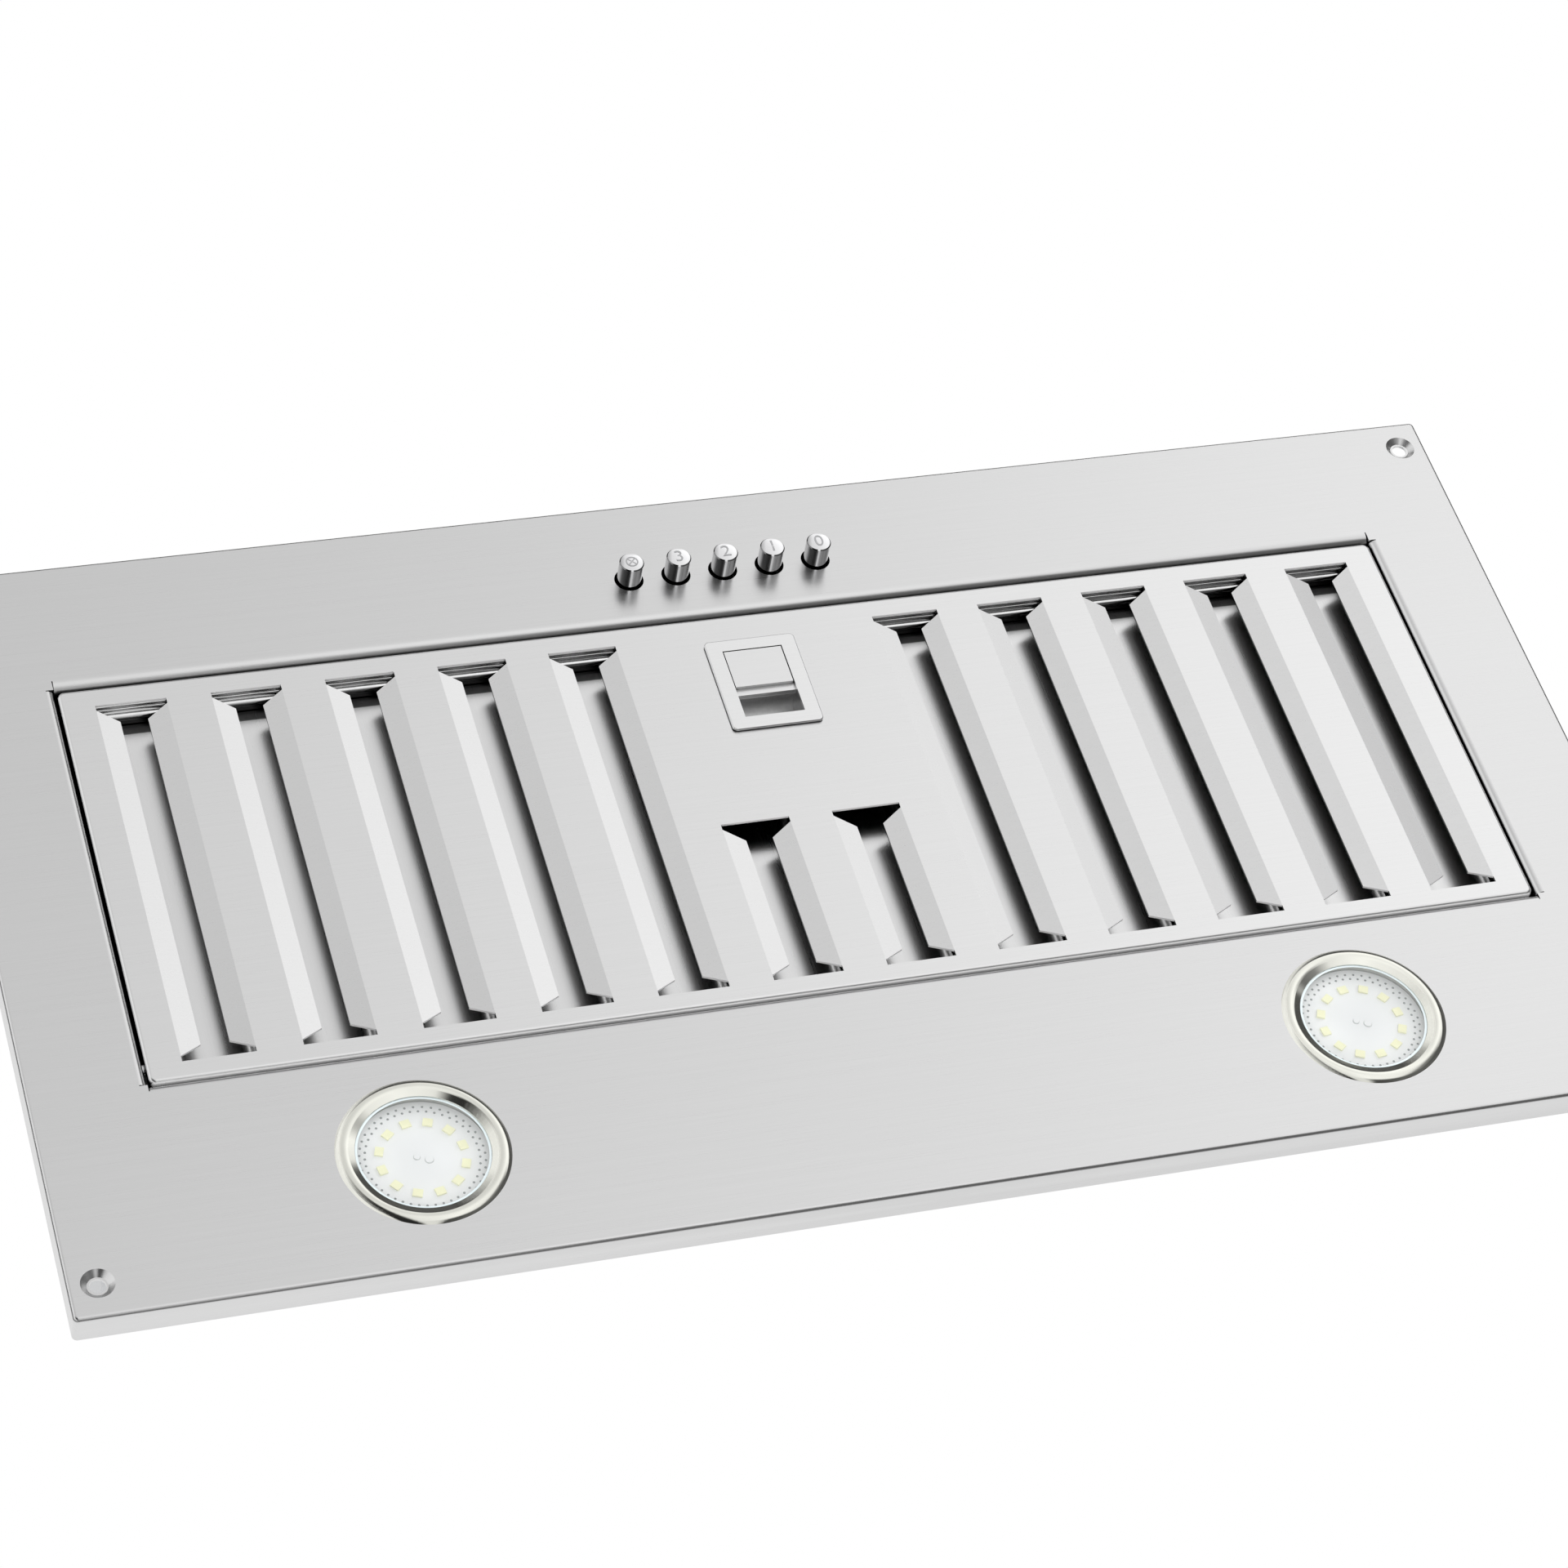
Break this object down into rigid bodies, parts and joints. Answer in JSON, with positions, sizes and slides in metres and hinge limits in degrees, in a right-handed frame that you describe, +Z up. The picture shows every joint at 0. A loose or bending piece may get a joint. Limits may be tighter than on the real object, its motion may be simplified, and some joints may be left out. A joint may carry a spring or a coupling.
{
  "type": "undermount range hood",
  "caption": "Built-in range hood with a brushed stainless face plate, hinged baffle filter with finger latch, push buttons, LED lamps, blower and duct collar.",
  "frame": {"origin": "centre of the four screw holes in the face plate, level with the mouths of the holes", "axes": "+Z up as the hood hangs, +X along the long side to the right as seen from the front, +Y to the rear, so the push buttons are at the front on the -Y side"},
  "size_m": [0.52, 0.286, 0.1676],
  "materials": {
    "plate_steel": "satin, brushed along X",
    "filter_steel": "satin, brushed along X",
    "baffle_steel": "satin, brushed along Y",
    "frame_steel": "satin",
    "latch_steel": "satin",
    "slider_steel": "satin",
    "case_steel": "satin pressing",
    "button_chrome": "polished",
    "bezel_nickel": "satin nickel",
    "lamp_glass": "clear",
    "lamp_aluminium": "satin",
    "board_white": "matt",
    "led_yellow": "satin",
    "body_steel": "satin",
    "zinc_steel": "zinc coated",
    "fastener_steel": "zinc plated",
    "spring_steel": "bright wire",
    "motor_iron": "laminated iron",
    "bush_rubber": "matt",
    "impeller_plastic": "matt",
    "capacitor_plastic": "satin",
    "driver_plastic": "matt",
    "switch_plastic": "matt",
    "collar_plastic": "matt",
    "flap_plastic": "matt",
    "terminal_plastic": "matt",
    "block_plastic": "matt",
    "gland_plastic": "matt"
  },
  "bodies": {
    "hood": {"face_plate": "plate_steel", "filter_pivot_studs": "fastener_steel", "switch_bracket": "zinc_steel", "switch_body": "switch_plastic", "switch_springs": "spring_steel", "left_lamp_bezel": "bezel_nickel", "left_lamp_glass": "lamp_glass", "left_lamp_can": "lamp_aluminium", "left_lamp_board": "board_white", "left_lamp_leds": "led_yellow", "right_lamp_bezel": "bezel_nickel", "right_lamp_glass": "lamp_glass", "right_lamp_can": "lamp_aluminium", "right_lamp_board": "board_white", "right_lamp_leds": "led_yellow", "lamp_clips": "spring_steel", "body_wrapper": "body_steel", "left_end_panel": "body_steel", "right_end_panel": "body_steel", "body_screws": "fastener_steel", "plate_studs": "fastener_steel", "plate_nuts": "fastener_steel", "duct_collar": "collar_plastic", "collar_screws": "fastener_steel", "damper_rod": "fastener_steel", "blower_scroll": "zinc_steel", "scroll_side_left": "zinc_steel", "scroll_side_right": "zinc_steel", "motor_stator": "motor_iron", "motor_can": "zinc_steel", "motor_bearings": "fastener_steel", "motor_bracket": "zinc_steel", "motor_bushes": "bush_rubber", "motor_screws": "fastener_steel", "run_capacitor": "capacitor_plastic", "capacitor_clip": "zinc_steel", "led_driver": "driver_plastic", "terminal_box": "terminal_plastic", "terminal_end_plate": "terminal_plastic", "terminal_box_cover": "terminal_plastic", "terminal_block": "block_plastic", "cable_gland": "gland_plastic"},
    "filter": {"filter_face": "filter_steel", "filter_frame": "frame_steel", "filter_baffles": "baffle_steel", "latch_bezel": "latch_steel", "latch_case": "case_steel", "latch_spring": "spring_steel"},
    "latch": {"latch_slider": "slider_steel"},
    "fan": {"impeller": "impeller_plastic", "impeller_clip": "fastener_steel", "motor_shaft": "fastener_steel", "motor_rotor": "motor_iron"},
    "left_flap": {"damper_flap_left": "flap_plastic"},
    "right_flap": {"damper_flap_right": "flap_plastic"},
    "button_light": {"button_light": "button_chrome"},
    "button_3": {"button_3": "button_chrome"},
    "button_2": {"button_2": "button_chrome"},
    "button_1": {"button_1": "button_chrome"},
    "button_0": {"button_0": "button_chrome"}
  },
  "joints": [
    {"name": "filter_tilt", "type": "hinge", "parent": "hood", "child": "filter", "pos_m": [0, 0.0564, 0.003], "axis": [1, 0, 0], "range_deg": [0, 75]},
    {"name": "latch_slide", "type": "slide", "parent": "filter", "child": "latch", "axis": [0, 1, 0], "range_m": [0, 0.005], "stiffness_N_per_m": 300, "springref_m": -0.004, "deforming": ["latch_spring"]},
    {"name": "fan_spin", "type": "hinge", "parent": "hood", "child": "fan", "pos_m": [0, 0.0045, 0.0688], "axis": [-1, 0, 0], "continuous": true},
    {"name": "left_flap_swing", "type": "hinge", "parent": "hood", "child": "left_flap", "pos_m": [0, -0.031, 0.13625], "axis": [0, 1, 0], "range_deg": [0, 70]},
    {"name": "right_flap_swing", "type": "hinge", "parent": "hood", "child": "right_flap", "pos_m": [0, -0.031, 0.13625], "axis": [0, -1, 0], "range_deg": [0, 70]},
    {"name": "button_light_press", "type": "slide", "parent": "hood", "child": "button_light", "axis": [0, 0, 1], "range_m": [0, 0.004], "stiffness_N_per_m": 250, "springref_m": -0.004, "deforming": ["switch_springs"]},
    {"name": "button_3_press", "type": "slide", "parent": "hood", "child": "button_3", "axis": [0, 0, 1], "range_m": [0, 0.004], "stiffness_N_per_m": 250, "springref_m": -0.004, "deforming": ["switch_springs"]},
    {"name": "button_2_press", "type": "slide", "parent": "hood", "child": "button_2", "axis": [0, 0, 1], "range_m": [0, 0.004], "stiffness_N_per_m": 250, "springref_m": -0.004, "deforming": ["switch_springs"]},
    {"name": "button_1_press", "type": "slide", "parent": "hood", "child": "button_1", "axis": [0, 0, 1], "range_m": [0, 0.004], "stiffness_N_per_m": 250, "springref_m": -0.004, "deforming": ["switch_springs"]},
    {"name": "button_0_press", "type": "slide", "parent": "hood", "child": "button_0", "axis": [0, 0, 1], "range_m": [0, 0.004], "stiffness_N_per_m": 250, "springref_m": -0.004, "deforming": ["switch_springs"]}
  ]
}
